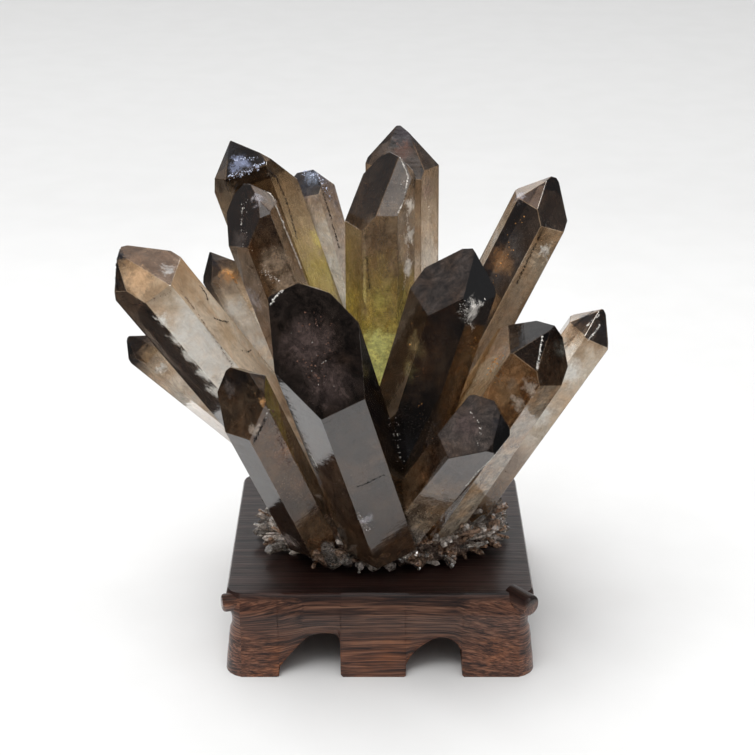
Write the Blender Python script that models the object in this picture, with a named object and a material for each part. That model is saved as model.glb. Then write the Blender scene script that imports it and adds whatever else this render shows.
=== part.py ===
"""Smoky quartz cluster on its carved wooden stand.

Two separate things: the cluster, one solid of fifteen large quartz points grown together on a crust
of small ones, and the stand, one carved piece of dark wood, on which the cluster only rests.
+X is the cluster's right, -Y its front, +Z up. The stand's feet are at z = 0, and the origin is
under the middle of the whole thing. Sizes below are in millimetres, and angles in degrees.
"""

import math
import random

import bmesh
import bpy
from mathutils import Vector

METRES_PER_MM = 0.001

# The stand.
STAND_HEIGHT = 36.0
STAND_HALF_WIDTH = 61.0
STAND_HALF_DEPTH = 51.0
STAND_CORNER_RADIUS = 5.0
BOARD_THICKNESS = 10.0
APRON_THICKNESS = 9.0
# The lower rim of the apron, as (place along the side, height above the table). Feet stand at height 0.
FRONT_RIM = (
    (-56, 0), (-42, 0), (-41, 3), (-38, 7), (-34, 11.5), (-30, 15.5), (-26, 17.5), (-22, 18),
    (-18.5, 17.5), (-16.5, 15), (-15.5, 8), (-15, 0), (-3, 0), (9.5, 0), (10, 3), (12, 7.5), (15, 11),
    (18.5, 13.5), (22, 15.5), (25.5, 16), (29, 15), (32, 12), (33.5, 7), (34, 0), (45, 0), (56, 0),
)
SIDE_RIM = (
    (-46, 0), (-31, 0),
    (-30, 5), (-26, 11), (-20, 16), (-10, 19), (0, 20), (10, 19), (20, 16), (26, 11), (30, 5),
    (31, 0), (46, 0),
)
# How far the carved faces stand out from the board's edge, as (height, distance), from the top down.
FRONT_PROFILE = ((36, 0), (35, 1.2), (32, 3), (28, 4.5), (24, 4), (20, 3), (14, 3.5), (7, 5), (0, 6))
SIDE_PROFILE = ((36, 0), (35, 0.6), (32, 0.8), (29, -1), (26, -3.6), (23, -3.4), (19, -1), (12, 0), (0, 1))
OUTER_ROWS = 12
INNER_ROWS = 2
KNOB_LENGTH = 12.0
KNOB_ROUNDING = 1.0
KNOB_SIDES = 16
SMOOTH_UP_TO = 35
# The knobs at the front corners, as (centre, radius, direction that it points, 0 = right, -90 = front).
KNOBS = (
    ((-57.5, -50, 31.5), 3.7, -165),
    ((56.5, -52, 33), 4.4, -50),
)

# The crystals.
# How far the way that a tip face looks leans from the crystal's axis, as in all quartz.
TIP_FACE_ANGLE = 51.8
# The cluster rests this little above the board.
REST_GAP = 0.3
REST_HEIGHT = STAND_HEIGHT + REST_GAP
# One row a crystal: name, head (a point of its axis near the shoulders), foot (where the axis ends in the
# crust), turn about the axis, the six prism faces' distances from the axis, counted from the front face
# towards +X, and the height above the head at which each of the six tip faces crosses the axis.
CRYSTALS = (
    ("left_upper", (-89, -25, 160), (-15, -1, 44), 16, (14, 12, 14, 14, 14, 12), (16, 13, 19, 20, 18, 20)),
    ("left_lower", (-95, -10, 126), (-17, 8, 44), 10, (9, 9, 9, 9, 9, 7), (8, 8, 6, 6, 9, 9)),
    ("left_small", (-66, 15, 151), (-12, 8, 44), 0, (8, 8, 8, 8, 8, 8), (8, 6, 6, 8, 8, 6)),
    ("back_left_tall", (-50, 20, 185), (-2, 9, 44), 2, (14, 14, 14, 14, 15, 15), (25, 26, 13, 16, 20, 26)),
    ("back_left_small", (-28, 35, 180), (9, 21, 44), -15, (8, 8, 8, 8, 8, 8), (6, 9, 7, 4, 10, 12)),
    ("left_inner", (-52, -15, 187), (-6, -6, 44), 16, (10, 11, 10, 10, 10, 10), (8, 10, 12, 12, 9, -1)),
    ("top_back", (9, 30, 192), (10, 19, 44), 0, (13, 13, 13, 13, 13, 13), (10, 13, 13, 15, 16, 14)),
    ("centre_yellow", (0, 0, 190), (0, 3, 44), -1, (12, 12, 12, 12, 12, 12), (6, 18, 20, 22, 16, 0)),
    ("front_large", (-24, -85, 164), (2, -30, 52), 18, (15, 14, 15, 15, 15, 16), (-10, 14, 21, 27, 27, 20)),
    ("front_left", (-52, -66, 134), (-26, -26, 49), 22, (10, 9, 9, 9, 11, 11), (6, 8, 8, 12, 10, -4)),
    ("right_dark", (26, -45, 165), (-5, -19, 44), -5, (15, 15, 15, 12, 12, 12), (24, 20, 22, 20, 16, 9)),
    ("right_back", (66, 15, 177), (4, 12, 44), -30, (11, 11, 11, 10, 11, 12), (13, 8, 12, 14, 14, 14)),
    ("front_right", (38, -75, 124), (5, -23, 48), 8, (10, 11, 11, 10, 10, 11), (8, 8, 10, 12, 12, -2)),
    ("right_middle", (62, -35, 144), (13, -10, 44), -25, (13, 18, 15, 12, 18, 9), (7, 9, 11, 3, 5, 1)),
    ("right_outer", (85, -10, 135), (31, -10, 47), 20, (8, 10, 9, 8, 9, 9), (6, 8, 8, 8, 8, 8)),
)

# The crust that holds the points together, as rings of (height, half width, half depth).
CRUST_CENTRE = (2, -3)
CRUST_RINGS = ((REST_HEIGHT, 46, 29), (40, 52, 34), (47, 50, 33), (54, 40, 26), (60, 26, 15))
CRUST_SEGMENTS = 28
CRUST_ROUGHNESS = 2.0
# The small crystals round it, as rows of (how many, height, half width and half depth of the ring that
# they stand on, lowest and highest tilt).
NEEDLE_ROWS = (
    (40, 40.5, 47, 29, -8, 30),
    (34, 46.0, 46, 29, 5, 60),
    (24, 51.0, 39, 25, 35, 80),
)
NEEDLE_LENGTHS = (7.0, 12.0)
NEEDLE_APOTHEMS = (1.1, 2.4)
NEEDLE_TURN_SPREAD = 40
# How far a small crystal's foot strays from its even place: round the ring, as a share of the step between
# neighbours, and in height.
NEEDLE_STEP_STRAY = 0.3
NEEDLE_HEIGHT_STRAY = 1.0
# The highest that a small crystal's tip faces cross its axis above its head, as a share of its apothem.
NEEDLE_CAP = 0.6
SEED = 7

# Every crystal is cut out of a block of this size, with corners closer than the cut's reach taken as one.
CUTTING_BLOCK = 900.0
CUT_REACH = 0.0001

MATERIALS = {
    "smoky_quartz": ((0.10, 0.07, 0.05, 1.0), 0.06),
    "dark_wood": ((0.055, 0.022, 0.016, 1.0), 0.35),
}


def clear_scene():
    for thing in list(bpy.data.objects):
        bpy.data.objects.remove(thing, do_unlink=True)


def material(name):
    colour, roughness = MATERIALS[name]
    made = bpy.data.materials.new(name)
    made.use_nodes = True
    made.diffuse_color = colour
    shader = made.node_tree.nodes["Principled BSDF"]
    shader.inputs["Base Color"].default_value = colour
    shader.inputs["Roughness"].default_value = roughness
    shader.inputs["Metallic"].default_value = 0.0
    return made


def object_from(bm, name):
    """Turns a mesh in millimetres into an object in metres, with its faces pointing out."""
    bmesh.ops.recalc_face_normals(bm, faces=bm.faces)
    bmesh.ops.scale(bm, vec=(METRES_PER_MM,) * 3, verts=bm.verts)
    mesh = bpy.data.meshes.new(name)
    bm.to_mesh(mesh)
    bm.free()
    made = bpy.data.objects.new(name, mesh)
    bpy.context.collection.objects.link(made)
    return made


def join_to(target, pieces):
    """Joins the pieces to the target with Boolean unions and removes the pieces."""
    for piece in pieces:
        union = target.modifiers.new("join_" + piece.name, "BOOLEAN")
        union.operation = "UNION"
        union.solver = "EXACT"
        union.object = piece
        bpy.context.view_layer.objects.active = target
        bpy.ops.object.modifier_apply(modifier=union.name)
        bpy.data.objects.remove(piece, do_unlink=True)


def crystal_directions(head, foot):
    """Returns a crystal's axis and the two directions across it: towards the front and towards +X."""
    axis = (Vector(head) - Vector(foot)).normalized()
    front = Vector((0, -1, 0))
    front = (front - front.dot(axis) * axis).normalized()
    return axis, front, axis.cross(front)


def crystal_planes(head, foot, turn, sides, caps):
    """Lists the planes that bound a quartz point, each as (a point on it, the way it faces)."""
    axis, front, right = crystal_directions(head, foot)
    head = Vector(head)
    lean = math.radians(TIP_FACE_ANGLE)
    planes = [(Vector(foot), -axis), (Vector((0, 0, REST_HEIGHT)), Vector((0, 0, -1)))]
    for number, (side, cap) in enumerate(zip(sides, caps)):
        angle = math.radians(turn + 60 * number)
        outward = math.cos(angle) * front + math.sin(angle) * right
        planes.append((head + side * outward, outward))
        planes.append((head + cap * axis, math.sin(lean) * outward + math.cos(lean) * axis))
    return planes


def crystal(name, head, foot, turn, sides, caps):
    """Cuts one quartz point out of a large block, a plane at a time."""
    bm = bmesh.new()
    bmesh.ops.create_cube(bm, size=CUTTING_BLOCK)
    for point, outward in crystal_planes(head, foot, turn, sides, caps):
        everything = bm.verts[:] + bm.edges[:] + bm.faces[:]
        cut = bmesh.ops.bisect_plane(
            bm, geom=everything, dist=CUT_REACH, plane_co=point, plane_no=outward, clear_outer=True
        )
        edges = [piece for piece in cut["geom_cut"] if isinstance(piece, bmesh.types.BMEdge)]
        if edges:
            bmesh.ops.contextual_create(bm, geom=edges)
    return object_from(bm, name)


def crust(dice):
    """Makes the rough mound that the crystals grow from."""
    bm = bmesh.new()
    rings = []
    for height, half_width, half_depth in CRUST_RINGS:
        ring = []
        for number in range(CRUST_SEGMENTS):
            angle = 2 * math.pi * number / CRUST_SEGMENTS
            out = 1 + dice.uniform(-CRUST_ROUGHNESS, CRUST_ROUGHNESS) / half_depth
            x = CRUST_CENTRE[0] + half_width * out * math.cos(angle)
            y = CRUST_CENTRE[1] + half_depth * out * math.sin(angle)
            ring.append(bm.verts.new((x, y, height)))
        rings.append(ring)
    for lower, upper in zip(rings, rings[1:]):
        for number in range(CRUST_SEGMENTS):
            following = (number + 1) % CRUST_SEGMENTS
            bm.faces.new((lower[number], lower[following], upper[following], upper[number]))
    bm.faces.new(list(reversed(rings[0])))
    bm.faces.new(rings[-1])
    bmesh.ops.triangulate(bm, faces=bm.faces)
    return object_from(bm, "quartz_cluster")


def needles(dice):
    """Makes the small crystals that point out of the crust all round."""
    made = []
    for count, height, half_width, half_depth, lowest, highest in NEEDLE_ROWS:
        for number in range(count):
            stray = dice.uniform(-NEEDLE_STEP_STRAY, NEEDLE_STEP_STRAY)
            angle = 2 * math.pi * (number + stray) / count
            tilt = math.radians(dice.uniform(lowest, highest))
            way = angle + math.radians(dice.uniform(-NEEDLE_TURN_SPREAD, NEEDLE_TURN_SPREAD))
            foot = Vector((
                CRUST_CENTRE[0] + half_width * math.cos(angle),
                CRUST_CENTRE[1] + half_depth * math.sin(angle),
                height + dice.uniform(-NEEDLE_HEIGHT_STRAY, NEEDLE_HEIGHT_STRAY),
            ))
            direction = Vector((
                math.cos(tilt) * math.cos(way),
                math.cos(tilt) * math.sin(way),
                math.sin(tilt),
            ))
            apothem = dice.uniform(*NEEDLE_APOTHEMS)
            head = foot + dice.uniform(*NEEDLE_LENGTHS) * direction
            caps = [dice.uniform(0, NEEDLE_CAP) * apothem for _ in range(6)]
            turn = dice.uniform(0, 60)
            made.append(crystal("needle", head, foot, turn, (apothem,) * 6, caps))
    return made


def fill_pockets(thing):
    """Removes the skins of pockets closed in between the crystals, so that they are solid quartz."""
    bm = bmesh.new()
    bm.from_mesh(thing.data)
    unseen = set(bm.verts)
    skins = []
    while unseen:
        skin = set()
        waiting = [unseen.pop()]
        while waiting:
            vertex = waiting.pop()
            skin.add(vertex)
            for edge in vertex.link_edges:
                neighbour = edge.other_vert(vertex)
                if neighbour in unseen:
                    unseen.remove(neighbour)
                    waiting.append(neighbour)
        skins.append(skin)
    skins.sort(key=len)
    inner = [vertex for skin in skins[:-1] for vertex in skin]
    bmesh.ops.delete(bm, geom=inner, context="VERTS")
    bm.to_mesh(thing.data)
    bm.free()


def quartz_cluster():
    dice = random.Random(SEED)
    cluster = crust(dice)
    join_to(cluster, [crystal(*row) for row in CRYSTALS])
    join_to(cluster, needles(dice))
    fill_pockets(cluster)
    cluster.data.materials.clear()
    cluster.data.materials.append(material("smoky_quartz"))
    return cluster


def profile_offset(profile, height):
    """Reads a carved profile at one height, in a straight line between its points."""
    for (upper, upper_offset), (lower, lower_offset) in zip(profile, profile[1:]):
        if height >= lower:
            share = (height - lower) / (upper - lower)
            return lower_offset + share * (upper_offset - lower_offset)
    return profile[-1][1]


def stand_columns():
    """Lists the places round the stand, as (x, y, way out, rim height, profile)."""
    columns = []
    for turn in range(4):
        along_front = turn % 2 == 0
        half_length = STAND_HALF_WIDTH if along_front else STAND_HALF_DEPTH
        half_across = STAND_HALF_DEPTH if along_front else STAND_HALF_WIDTH
        rim = FRONT_RIM if along_front else SIDE_RIM
        profile = FRONT_PROFILE if along_front else SIDE_PROFILE
        if turn == 2:
            rim = tuple((-along, height) for along, height in reversed(rim))
        angle = math.radians(90 * turn)
        way_along = Vector((math.cos(angle), math.sin(angle), 0))
        way_out = Vector((math.sin(angle), -math.cos(angle), 0))
        for along, height in rim:
            place = along * way_along + half_across * way_out
            columns.append((place, way_out, height, profile))
        corner = (half_length - STAND_CORNER_RADIUS) * way_along
        corner += (half_across - STAND_CORNER_RADIUS) * way_out
        for share in (0.0, 0.5, 1.0):
            swing = math.radians(90 * share)
            out = math.cos(swing) * way_out + math.sin(swing) * way_along
            next_profile = SIDE_PROFILE if along_front else FRONT_PROFILE
            place = corner + STAND_CORNER_RADIUS * out
            columns.append((place, out, 0, profile if share < 0.5 else next_profile))
    return columns


def stand_body():
    """Makes the board and its apron as one skin: down the outside, under the rim and up inside."""
    bm = bmesh.new()
    ceiling = STAND_HEIGHT - BOARD_THICKNESS
    skins = []
    for place, way_out, rim_height, profile in stand_columns():
        skin = []
        for row in range(OUTER_ROWS + 1):
            height = STAND_HEIGHT + (rim_height - STAND_HEIGHT) * row / OUTER_ROWS
            point = place + profile_offset(profile, height) * way_out
            skin.append(bm.verts.new((point.x, point.y, height)))
        inside = place - APRON_THICKNESS * way_out
        for row in range(INNER_ROWS + 1):
            height = rim_height + (ceiling - rim_height) * row / INNER_ROWS
            skin.append(bm.verts.new((inside.x, inside.y, height)))
        skins.append(skin)
    for skin, following in zip(skins, skins[1:] + skins[:1]):
        for row in range(len(skin) - 1):
            bm.faces.new((skin[row], skin[row + 1], following[row + 1], following[row]))
    bm.faces.new([skin[0] for skin in skins])
    bm.faces.new([skin[-1] for skin in reversed(skins)])
    bmesh.ops.triangulate(bm, faces=bm.faces)
    return object_from(bm, "wooden_stand")


def knob(centre, knob_radius, direction):
    """Makes one of the round knobs that stick out at the stand's front corners."""
    bm = bmesh.new()
    angle = math.radians(direction)
    axis = Vector((math.cos(angle), math.sin(angle), 0))
    across = Vector((-math.sin(angle), math.cos(angle), 0))
    outer = KNOB_LENGTH / 2
    stations = (
        (-outer, knob_radius),
        (outer - KNOB_ROUNDING, knob_radius),
        (outer, knob_radius - KNOB_ROUNDING),
    )
    rings = []
    for along, radius in stations:
        ring = []
        for number in range(KNOB_SIDES):
            turn = 2 * math.pi * number / KNOB_SIDES
            point = Vector(centre) + along * axis + radius * math.cos(turn) * across
            ring.append(bm.verts.new((point.x, point.y, point.z + radius * math.sin(turn))))
        rings.append(ring)
    for lower, upper in zip(rings, rings[1:]):
        for number in range(KNOB_SIDES):
            following = (number + 1) % KNOB_SIDES
            bm.faces.new((lower[number], lower[following], upper[following], upper[number]))
    bm.faces.new(list(reversed(rings[0])))
    bm.faces.new(rings[-1])
    return object_from(bm, "knob")


def wooden_stand():
    stand = stand_body()
    join_to(stand, [knob(*row) for row in KNOBS])
    stand.data.shade_smooth()
    stand.data.set_sharp_from_angle(angle=math.radians(SMOOTH_UP_TO))
    stand.data.materials.clear()
    stand.data.materials.append(material("dark_wood"))
    return stand


def centre_on_origin(things):
    """Moves everything so that the origin is under the middle of the whole thing."""
    corners = [vertex.co for thing in things for vertex in thing.data.vertices]
    middle = Vector((
        (min(corner.x for corner in corners) + max(corner.x for corner in corners)) / 2,
        (min(corner.y for corner in corners) + max(corner.y for corner in corners)) / 2,
        0,
    ))
    for thing in things:
        for vertex in thing.data.vertices:
            vertex.co -= middle


def main():
    clear_scene()
    centre_on_origin([wooden_stand(), quartz_cluster()])


main()
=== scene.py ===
"""Looks of the smoky quartz cluster on its carved stand: crystals, druse, wood, floor, light and camera.

Lengths are in millimetres in the stand's own frame, whose x = y = 0 is the middle of its board, whose
front is -Y and whose feet are at z = 0. in_scene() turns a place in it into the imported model's frame.
"""

import math
import random

import bmesh
import bpy
from mathutils import Matrix, Vector


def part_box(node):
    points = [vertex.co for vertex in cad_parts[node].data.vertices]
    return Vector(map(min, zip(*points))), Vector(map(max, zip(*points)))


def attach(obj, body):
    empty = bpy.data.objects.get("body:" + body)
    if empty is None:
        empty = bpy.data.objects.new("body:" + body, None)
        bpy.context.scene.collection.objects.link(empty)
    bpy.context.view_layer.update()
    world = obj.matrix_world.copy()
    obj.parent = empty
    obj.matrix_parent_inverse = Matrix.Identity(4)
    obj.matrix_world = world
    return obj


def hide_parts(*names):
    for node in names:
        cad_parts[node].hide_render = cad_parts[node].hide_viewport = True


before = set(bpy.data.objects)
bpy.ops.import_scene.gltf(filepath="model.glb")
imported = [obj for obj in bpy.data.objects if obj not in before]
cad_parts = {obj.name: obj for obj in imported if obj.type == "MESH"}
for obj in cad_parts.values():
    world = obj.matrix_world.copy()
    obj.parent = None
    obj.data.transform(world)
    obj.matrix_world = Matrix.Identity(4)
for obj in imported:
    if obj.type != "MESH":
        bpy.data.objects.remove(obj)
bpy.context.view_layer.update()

MM = 0.001
SEED = 11

# ---------------------------------------------------------------- where things are

STAND_HEIGHT = 36.0
REST_HEIGHT = 36.3
# The cluster reaches this far to the left and to the front of the stand's middle.
CLUSTER_LEFT = 101.54
CLUSTER_FRONT = 88.06
cluster_low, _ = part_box("quartz_cluster")
FRAME_ORIGIN = Vector((cluster_low.x + CLUSTER_LEFT * MM, cluster_low.y + CLUSTER_FRONT * MM, 0))


def in_scene(place):
    return FRAME_ORIGIN + Vector(place) * MM


def new_object(name, data, location):
    made = bpy.data.objects.new(name, data)
    bpy.context.collection.objects.link(made)
    made.location = location
    return made


def mesh_object(bm, name, place=Matrix.Identity(4), slot=None):
    """Turns a mesh in millimetres into an object in metres, riding on the only body unless it has no slot.

    Where the mesh is drawn in a frame of its own, its "own" attribute keeps where each point is in it.
    """
    own = bm.verts.layers.float_vector.new("own")
    for vertex in bm.verts:
        vertex[own] = vertex.co * MM
    bm.transform(place)
    bmesh.ops.scale(bm, vec=(MM,) * 3, verts=bm.verts)
    mesh = bpy.data.meshes.new(name)
    bm.to_mesh(mesh)
    bm.free()
    made = new_object(name, mesh, FRAME_ORIGIN)
    if slot:
        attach(made, "root")
    return made


CAMERA_PLACE = (-1, -617.8, 382.4)
CAMERA_ELEVATION = 24
# The lens's length in the photograph's pixels, and half of the photograph's width.
LENS_PIXELS = 1650.0
HALF_PICTURE_PIXELS = 377.5


def sight_line(pixel):
    """Returns the way, in the stand's frame, in which the camera sees one of its picture's pixels."""
    across = pixel[0] - HALF_PICTURE_PIXELS
    above = HALF_PICTURE_PIXELS - pixel[1]
    lift = math.radians(CAMERA_ELEVATION)
    forward = Vector((0, math.cos(lift), -math.sin(lift)))
    up = Vector((0, math.sin(lift), math.cos(lift)))
    return (across * Vector((1, 0, 0)) + LENS_PIXELS * forward + above * up).normalized()


# ---------------------------------------------------------------- shader helpers

# The patterns of noise that the materials are made of, as (scale, detail, roughness, distortion): the larger
# the scale, the finer the pattern. Those of scale 1 lie over a vector that is stretched before.
PATTERNS = {
    "quartz_drift": (70.0, 5.0, 0.65, 0.0),
    "quartz_amber": (80.0, 3.0, 0.6, 0.0),
    "quartz_ragged": (330.0, 4.0, 0.7, 0.0),
    "quartz_clouds": (260.0, 8.0, 0.72, 0.4),
    "quartz_grit": (900.0, 4.0, 0.7, 0.0),
    "quartz_veil": (150.0, 8.0, 0.72, 1.2),
    "quartz_haze": (120.0, 5.0, 0.65, 0.0),
    "quartz_dents": (170.0, 4.0, 0.55, 0.0),
    "quartz_lines": (1.0, 3.0, 0.5, 0.0),
    "flake_spots": (900.0, 2.0, 0.5, 0.0),
    "druse_grains": (600.0, 5.0, 0.75, 0.0),
    "needle_spots": (700.0, 5.0, 0.7, 0.0),
    "wood_warp": (32.0, 1.5, 0.5, 0.0),
    "wood_broad": (1.0, 4.0, 0.6, 0.0),
    "wood_fine": (1.0, 3.0, 0.6, 0.0),
    "wood_pores": (1.0, 2.0, 0.5, 0.0),
    "wood_patches": (55.0, 4.0, 0.65, 0.0),
    "floor_weave": (30.0, 4.0, 0.5, 0.0),
}
# The run of a pattern's values, out of 0 to 1, over which a look changes.
CHANGES = {
    "quartz_drift": (0.3, 0.7),
    "quartz_amber": (0.45, 0.68),
    "quartz_ragged": (0.3, 0.7),
    "quartz_clouds": (0.36, 0.64),
    "quartz_grit": (0.35, 0.65),
    "quartz_veil": (0.38, 0.62),
    "quartz_haze": (0.3, 0.75),
    "flake_spots": (0.3, 0.7),
    "needle_spots": (0.36, 0.62),
    "wood_pores": (0.56, 0.66),
    "wood_patches": (0.5, 0.68),
}


def new_material(name):
    made = bpy.data.materials.new(name)
    made.use_nodes = True
    return made, made.node_tree, made.node_tree.nodes["Principled BSDF"]


def node(tree, kind, **settings):
    made = tree.nodes.new("ShaderNode" + kind)
    for key, value in settings.items():
        setattr(made, key, value)
    return made


def feed(tree, socket, value):
    """Links another node's output to a socket, or sets the socket to a plain value."""
    if isinstance(value, bpy.types.NodeSocket):
        tree.links.new(value, socket)
    else:
        socket.default_value = value


def feed_all(tree, made, values):
    """Feeds a node's sockets, which are named or numbered, and returns the node."""
    for name, value in values.items():
        feed(tree, made.inputs[name], value)
    return made


def calculate(tree, operation, first, second=0.0, clamp=False):
    made = node(tree, "Math", operation=operation, use_clamp=clamp)
    return feed_all(tree, made, {0: first, 1: second}).outputs[0]


def times(tree, first, second):
    return calculate(tree, "MULTIPLY", first, second)


def stretched(tree, vector, scale):
    return feed_all(tree, node(tree, "Mapping"), {"Vector": vector, "Scale": scale}).outputs["Vector"]


def pattern(tree, vector, name, output="Fac"):
    """Lays one of the PATTERNS over a vector."""
    scale, detail, roughness, distortion = PATTERNS[name]
    made = feed_all(tree, node(tree, "TexNoise"), {
        "Vector": vector, "Scale": scale, "Detail": detail, "Roughness": roughness, "Distortion": distortion,
    })
    return made.outputs[output]


def between(tree, value, low, high, to_low=0.0, to_high=1.0):
    """Turns the run from low to high into the run from to_low to to_high, and stays at its ends beyond it."""
    return feed_all(tree, node(tree, "MapRange"), {
        "Value": value, "From Min": low, "From Max": high, "To Min": to_low, "To Max": to_high,
    }).outputs["Result"]


def changing(tree, vector, name, to_low=0.0, to_high=1.0):
    """Lays a pattern over a vector, and goes from to_low to to_high over its run in CHANGES."""
    return between(tree, pattern(tree, vector, name), *CHANGES[name], to_low, to_high)


def over_lengths(tree, value, low, high, to_low=0.0, to_high=1.0):
    """Does what between() does, with low and high in millimetres."""
    return between(tree, value, low * MM, high * MM, to_low, to_high)


def ramp(tree, value, stops, interpolation="EASE"):
    made = node(tree, "ValToRGB")
    made.color_ramp.interpolation = interpolation
    elements = made.color_ramp.elements
    while len(elements) < len(stops):
        elements.new(1.0)
    for element, (position, colour) in zip(elements, stops):
        element.position = position
        element.color = (*colour, 1.0)
    feed(tree, made.inputs["Fac"], value)
    return made.outputs["Color"]


def mix(tree, share, first, second, blend="MIX"):
    made = node(tree, "Mix", data_type="RGBA", blend_type=blend)
    return feed_all(tree, made, {"Factor": share, "A": first, "B": second}).outputs["Result"]


def tinted(tree, colour, tint):
    return mix(tree, 1.0, colour, tint, "MULTIPLY")


def partly_tinted(tree, share, colour, tint):
    return mix(tree, share, colour, tinted(tree, colour, tint))


def bump(tree, height, distance, strength=1.0):
    """Raises the surface by a height from 0 to 1 times the distance, which is in millimetres."""
    return feed_all(tree, node(tree, "Bump"), {
        "Height": height, "Distance": distance * MM, "Strength": strength,
    }).outputs["Normal"]


def attribute(tree, name, output):
    return node(tree, "Attribute", attribute_name=name).outputs[output]


def along_axis(tree, vector, axis):
    return feed_all(tree, node(tree, "SeparateXYZ"), {0: vector}).outputs[axis]


def object_place(tree):
    return node(tree, "TexCoord").outputs["Object"]


# ---------------------------------------------------------------- the crystals' shapes

TIP_FACE_ANGLE = 51.8
EDGE_WIDTH = 0.16
CUTTING_BLOCK = 900.0
CUT_TOLERANCE = 0.0001
# One row a crystal: name, head (a point of its axis near the shoulders), foot (where the axis ends in the
# crust), turn about the axis, the six prism faces' distances from the axis, counted from the front face
# towards +X, and the height above the head at which each of the six tip faces crosses the axis.
CRYSTALS = (
    ("left_upper", (-89, -25, 160), (-15, -1, 44), 16, (14, 12, 14, 14, 14, 12), (16, 13, 19, 20, 18, 20)),
    ("left_lower", (-95, -10, 126), (-17, 8, 44), 10, (9, 9, 9, 9, 9, 7), (8, 8, 6, 6, 9, 9)),
    ("left_small", (-66, 15, 151), (-12, 8, 44), 0, (8, 8, 8, 8, 8, 8), (8, 6, 6, 8, 8, 6)),
    ("back_left_tall", (-50, 20, 185), (-2, 9, 44), 2, (14, 14, 14, 14, 15, 15), (25, 26, 13, 16, 20, 26)),
    ("back_left_small", (-28, 35, 180), (9, 21, 44), -15, (8, 8, 8, 8, 8, 8), (6, 9, 7, 4, 10, 12)),
    ("left_inner", (-52, -15, 187), (-6, -6, 44), 16, (10, 11, 10, 10, 10, 10), (8, 10, 12, 12, 9, -1)),
    ("top_back", (9, 30, 192), (10, 19, 44), 0, (13, 13, 13, 13, 13, 13), (10, 13, 13, 15, 16, 14)),
    ("centre_yellow", (0, 0, 190), (0, 3, 44), -1, (12, 12, 12, 12, 12, 12), (6, 18, 20, 22, 16, 0)),
    ("front_large", (-24, -85, 164), (2, -30, 52), 18, (15, 14, 15, 15, 15, 16), (-10, 14, 21, 27, 27, 20)),
    ("front_left", (-52, -66, 134), (-26, -26, 49), 22, (10, 9, 9, 9, 11, 11), (6, 8, 8, 12, 10, -4)),
    ("right_dark", (26, -45, 165), (-5, -19, 44), -5, (15, 15, 15, 12, 12, 12), (24, 20, 22, 20, 16, 9)),
    ("right_back", (66, 15, 177), (4, 12, 44), -30, (11, 11, 11, 10, 11, 12), (13, 8, 12, 14, 14, 14)),
    ("front_right", (38, -75, 124), (5, -23, 48), 8, (10, 11, 11, 10, 10, 11), (8, 8, 10, 12, 12, -2)),
    ("right_middle", (62, -35, 144), (13, -10, 44), -25, (13, 18, 15, 12, 18, 9), (7, 9, 11, 3, 5, 1)),
    ("right_outer", (85, -10, 135), (31, -10, 47), 20, (8, 10, 9, 8, 9, 9), (6, 8, 8, 8, 8, 8)),
)


def crystal_matrix(head, foot):
    """Returns where a crystal's own frame is: +Z up its axis from the foot, +X right, -Y to the front."""
    axis = (Vector(head) - Vector(foot)).normalized()
    front = Vector((0, -1, 0))
    front = (front - front.dot(axis) * axis).normalized()
    right = axis.cross(front)
    turn = Matrix((right, -front, axis)).transposed().to_4x4()
    return Matrix.Translation(Vector(foot)) @ turn


def crystal_planes(length, turn, sides, caps):
    """Lists a quartz point's faces in its own frame, each as (name, a point on it, the way it faces)."""
    head = Vector((0, 0, length))
    lean = math.radians(TIP_FACE_ANGLE)
    up = Vector((0, 0, 1))
    planes = []
    for number, (side, cap) in enumerate(zip(sides, caps)):
        angle = math.radians(turn + 60 * number)
        outward = Vector((math.sin(angle), -math.cos(angle), 0))
        planes.append((f"side{number}", head + side * outward, outward))
        planes.append((f"tip{number}", head + cap * up, math.sin(lean) * outward + math.cos(lean) * up))
    return planes


def cut_point(planes, block):
    """Cuts a convex body out of a large block, a plane at a time."""
    bm = bmesh.new()
    bmesh.ops.create_cube(bm, size=block)
    for _, place, outward in planes:
        everything = bm.verts[:] + bm.edges[:] + bm.faces[:]
        cut = bmesh.ops.bisect_plane(
            bm, geom=everything, dist=CUT_TOLERANCE, plane_co=place, plane_no=outward, clear_outer=True
        )
        edges = [piece for piece in cut["geom_cut"] if isinstance(piece, bmesh.types.BMEdge)]
        if edges:
            bmesh.ops.contextual_create(bm, geom=edges)
    bmesh.ops.recalc_face_normals(bm, faces=bm.faces)
    return bm


# A polygon belongs to one of the crystal's faces if the cosine between them is above this, and otherwise to a
# bevelled edge, which has a painted shade of its own: a thin darker line painted along the edge.
FLAT_ENOUGH = 0.9995
EDGE_PAINTED_SHADE = (0.8, 0.76, 0.72)


def paint_face_shades(crystal, place, planes, painted_face_shades, milky):
    """Gives each flat face its painted shade, which the material multiplies its colour by, and its milkiness.
    """
    into_own = place.to_3x3().inverted()
    crystal.data.color_attributes.new("tint", "FLOAT_COLOR", "CORNER")
    crystal.data.attributes.new("milk", "FLOAT", "CORNER")
    painted_shade_data = crystal.data.color_attributes["tint"].data
    milk_data = crystal.data.attributes["milk"].data
    for polygon in crystal.data.polygons:
        facing = into_own @ polygon.normal
        nearest = max(planes, key=lambda plane: plane[2].dot(facing))
        on_face = nearest[2].dot(facing) > FLAT_ENOUGH
        # A face's painted shade darkens it as the light falling on it would; a bevelled edge gets its own.
        tint = painted_face_shades.get(nearest[0], (1, 1, 1)) if on_face else EDGE_PAINTED_SHADE
        for corner in polygon.loop_indices:
            painted_shade_data[corner].color = (*tint, 1)
            milk_data[corner].value = milky.get(nearest[0], 0)


# ---------------------------------------------------------------- quartz materials

QUARTZ_IOR = 1.544
CRYSTAL_ROUGHNESS = (0.024, 0.108)
# How far up or down the crystal its colours wander, as a share of its length.
HEIGHT_DRIFT = 0.09
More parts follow.
